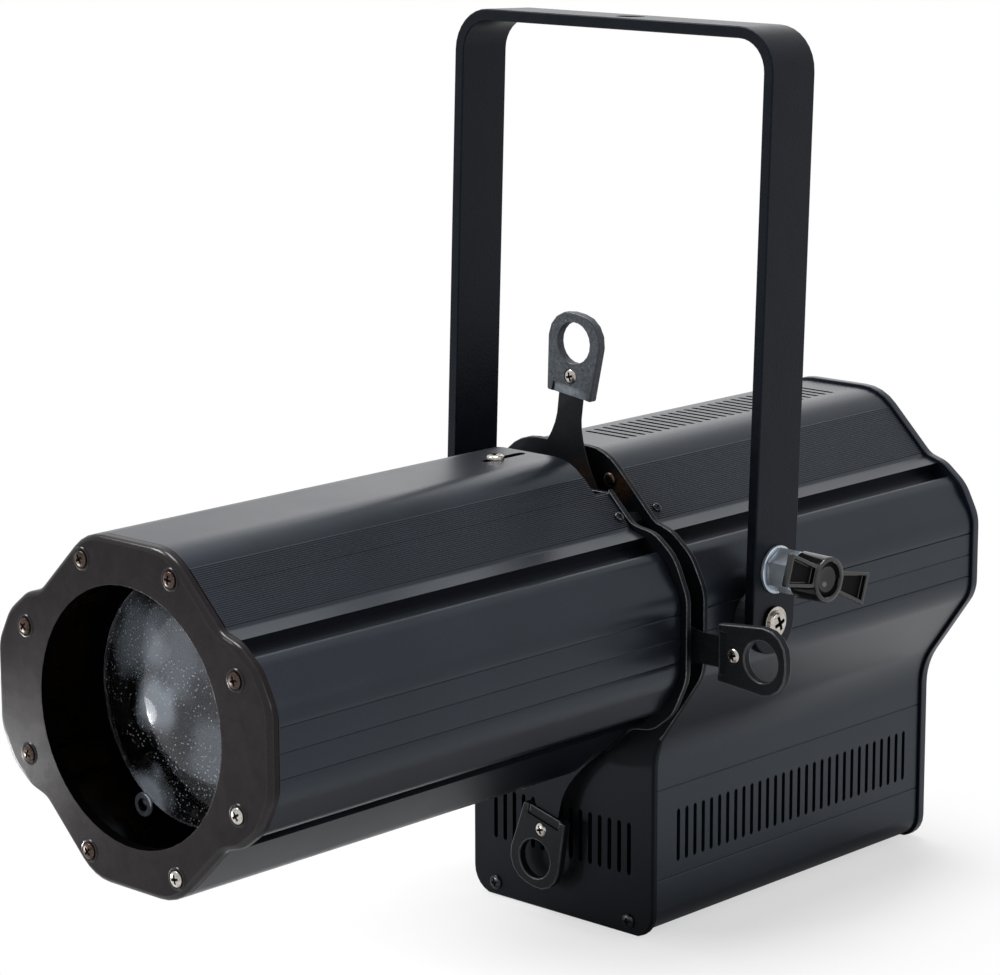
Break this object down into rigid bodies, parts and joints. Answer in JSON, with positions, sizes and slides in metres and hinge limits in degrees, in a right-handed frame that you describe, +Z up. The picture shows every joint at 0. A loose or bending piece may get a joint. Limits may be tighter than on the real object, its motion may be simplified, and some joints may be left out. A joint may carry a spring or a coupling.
{
  "type": "follow spot",
  "caption": "Profile follow spot: grooved aluminium body and barrel, framing shutters with finger tabs at the gate, lens in a round mouth, and a flat-bar yoke with winged lock knobs.",
  "frame": {"origin": "on the floor under the middle of the lower box", "axes": "+Z up, the beam leaves along -Y, +X to the right seen from the front"},
  "size_m": [0.2752, 0.4813, 0.4199],
  "materials": {
    "coated_aluminium": "fine black powder coat on extruded aluminium",
    "coated_steel": "black powder coat on steel",
    "bare_aluminium": "plain extruded aluminium",
    "supply_case": "closed supply, weighed as a block of its mean density",
    "dark_steel": "heat-darkened thin steel",
    "nickel": "bright nickel plate",
    "black_plastic": "fine-textured black plastic",
    "gloss_plastic": "smooth black plastic",
    "optical_glass": "polished glass",
    "circuit_board": "green solder resist"
  },
  "bodies": {
    "body": {"rear_housing": "coated_aluminium", "body_front_plate": "coated_aluminium", "rear_panel": "coated_steel", "base_plate": "coated_steel", "barrel": "coated_aluminium", "barrel_flange": "coated_aluminium", "front_bezel": "coated_aluminium", "front_lens": "optical_glass", "lens_seat_ring": "coated_aluminium", "lens_clip_1": "nickel", "lens_clip_2": "nickel", "lens_clip_3": "nickel", "gate_divider": "dark_steel", "optics_tube": "coated_aluminium", "condenser_lens": "optical_glass", "led_board": "circuit_board", "heat_sink": "bare_aluminium", "fan_frame": "black_plastic", "power_supply": "supply_case", "control_board": "circuit_board", "display_window": "gloss_plastic", "data_in_socket": "black_plastic", "data_out_socket": "black_plastic", "power_inlet": "black_plastic", "fuse_holder": "black_plastic", "left_pivot_screw": "nickel", "right_pivot_screw": "nickel", "left_spacer_bush": "black_plastic", "right_spacer_bush": "black_plastic"},
    "yoke": {"yoke": "coated_steel"},
    "right_knob": {"right_lock_stud": "nickel", "right_lock_knob": "gloss_plastic"},
    "left_knob": {"left_lock_stud": "nickel", "left_lock_knob": "gloss_plastic"},
    "focus": {"focus_carriage": "black_plastic", "focus_lens": "optical_glass", "focus_screw": "nickel"},
    "top_shutter": {"top_shutter_blade": "dark_steel", "top_shutter_handle": "black_plastic", "top_handle_screw": "nickel"},
    "right_shutter": {"right_shutter_blade": "dark_steel", "right_shutter_handle": "black_plastic", "right_handle_screw": "nickel"},
    "bottom_shutter": {"bottom_shutter_blade": "dark_steel", "bottom_shutter_handle": "black_plastic", "bottom_handle_screw": "nickel"},
    "left_shutter": {"left_shutter_blade": "dark_steel", "left_shutter_handle": "black_plastic", "left_handle_screw": "nickel"},
    "fan": {"fan_rotor": "black_plastic"},
    "button_1": {"menu_button_1": "black_plastic"},
    "button_2": {"menu_button_2": "black_plastic"},
    "button_3": {"menu_button_3": "black_plastic"},
    "button_4": {"menu_button_4": "black_plastic"}
  },
  "joints": [
    {"name": "yoke_tilt", "type": "hinge", "parent": "body", "child": "yoke", "pos_m": [0, -0.0686, 0.152], "axis": [1, 0, 0], "range_deg": [-90, 20]},
    {"name": "right_knob_turn", "type": "hinge", "parent": "yoke", "child": "right_knob", "pos_m": [0.11, -0.0677, 0.17658], "axis": [1, 0, 0], "range_deg": [-180, 180]},
    {"name": "left_knob_turn", "type": "hinge", "parent": "yoke", "child": "left_knob", "pos_m": [-0.11, -0.0677, 0.17658], "axis": [-1, 0, 0], "range_deg": [-180, 180]},
    {"name": "focus_slide", "type": "slide", "parent": "body", "child": "focus", "axis": [0, 1, 0], "range_m": [-0.005, 0.016]},
    {"name": "top_shutter_slide", "type": "slide", "parent": "body", "child": "top_shutter", "axis": [0.1236, 0, 0.9923], "range_m": [-0.036, 0]},
    {"name": "right_shutter_slide", "type": "slide", "parent": "body", "child": "right_shutter", "axis": [1, 0, 0], "range_m": [-0.034, 0]},
    {"name": "bottom_shutter_slide", "type": "slide", "parent": "body", "child": "bottom_shutter", "axis": [-0.2504, 0, -0.9681], "range_m": [-0.033, 0]},
    {"name": "left_shutter_slide", "type": "slide", "parent": "body", "child": "left_shutter", "axis": [-1, 0, 0], "range_m": [-0.036, 0]},
    {"name": "fan_spin", "type": "hinge", "parent": "body", "child": "fan", "pos_m": [0, 0.02, 0.152], "axis": [0, 1, 0], "continuous": true},
    {"name": "button_1_press", "type": "slide", "parent": "body", "child": "button_1", "axis": [0, -1, 0], "range_m": [0, 0.0012], "stiffness_N_per_m": 600, "springref_m": -0.0006},
    {"name": "button_2_press", "type": "slide", "parent": "body", "child": "button_2", "axis": [0, -1, 0], "range_m": [0, 0.0012], "stiffness_N_per_m": 600, "springref_m": -0.0006},
    {"name": "button_3_press", "type": "slide", "parent": "body", "child": "button_3", "axis": [0, -1, 0], "range_m": [0, 0.0012], "stiffness_N_per_m": 600, "springref_m": -0.0006},
    {"name": "button_4_press", "type": "slide", "parent": "body", "child": "button_4", "axis": [0, -1, 0], "range_m": [0, 0.0012], "stiffness_N_per_m": 600, "springref_m": -0.0006}
  ]
}
